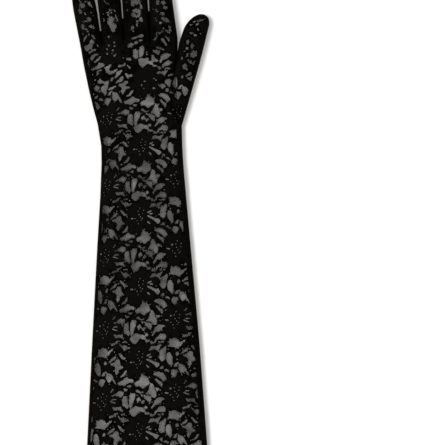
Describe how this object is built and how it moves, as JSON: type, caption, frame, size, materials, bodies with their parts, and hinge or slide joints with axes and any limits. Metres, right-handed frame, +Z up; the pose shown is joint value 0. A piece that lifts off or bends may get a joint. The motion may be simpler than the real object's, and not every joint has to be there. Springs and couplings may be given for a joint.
{
  "type": "long lace glove",
  "caption": "Opera-length stretch-lace glove for the left hand, lying empty with its palm down: floral lace back, net palm, thumb, finger strips, side seams and a turned hem.",
  "frame": {"origin": "middle of the glove's box, on the surface that it lies on", "axes": "+X towards the thumb side, +Y from the hem to the fingertips, +Z up out of the back of the hand"},
  "size_m": [0.126, 0.5, 0.014],
  "materials": {
    "lace": "matt black floral stretch lace",
    "net": "fine black diamond net",
    "knit": "close black knit, stitched"
  },
  "bodies": {
    "root": {"back_panel": "lace", "palm_panel": "net", "thumb": "lace", "fourchette_index_middle": "knit", "fourchette_middle_ring": "knit", "fourchette_ring_little": "knit", "index_side_seam": "knit", "outer_side_seam": "knit", "inner_side_seam": "knit", "hem_band": "knit"}
  },
  "joints": []
}
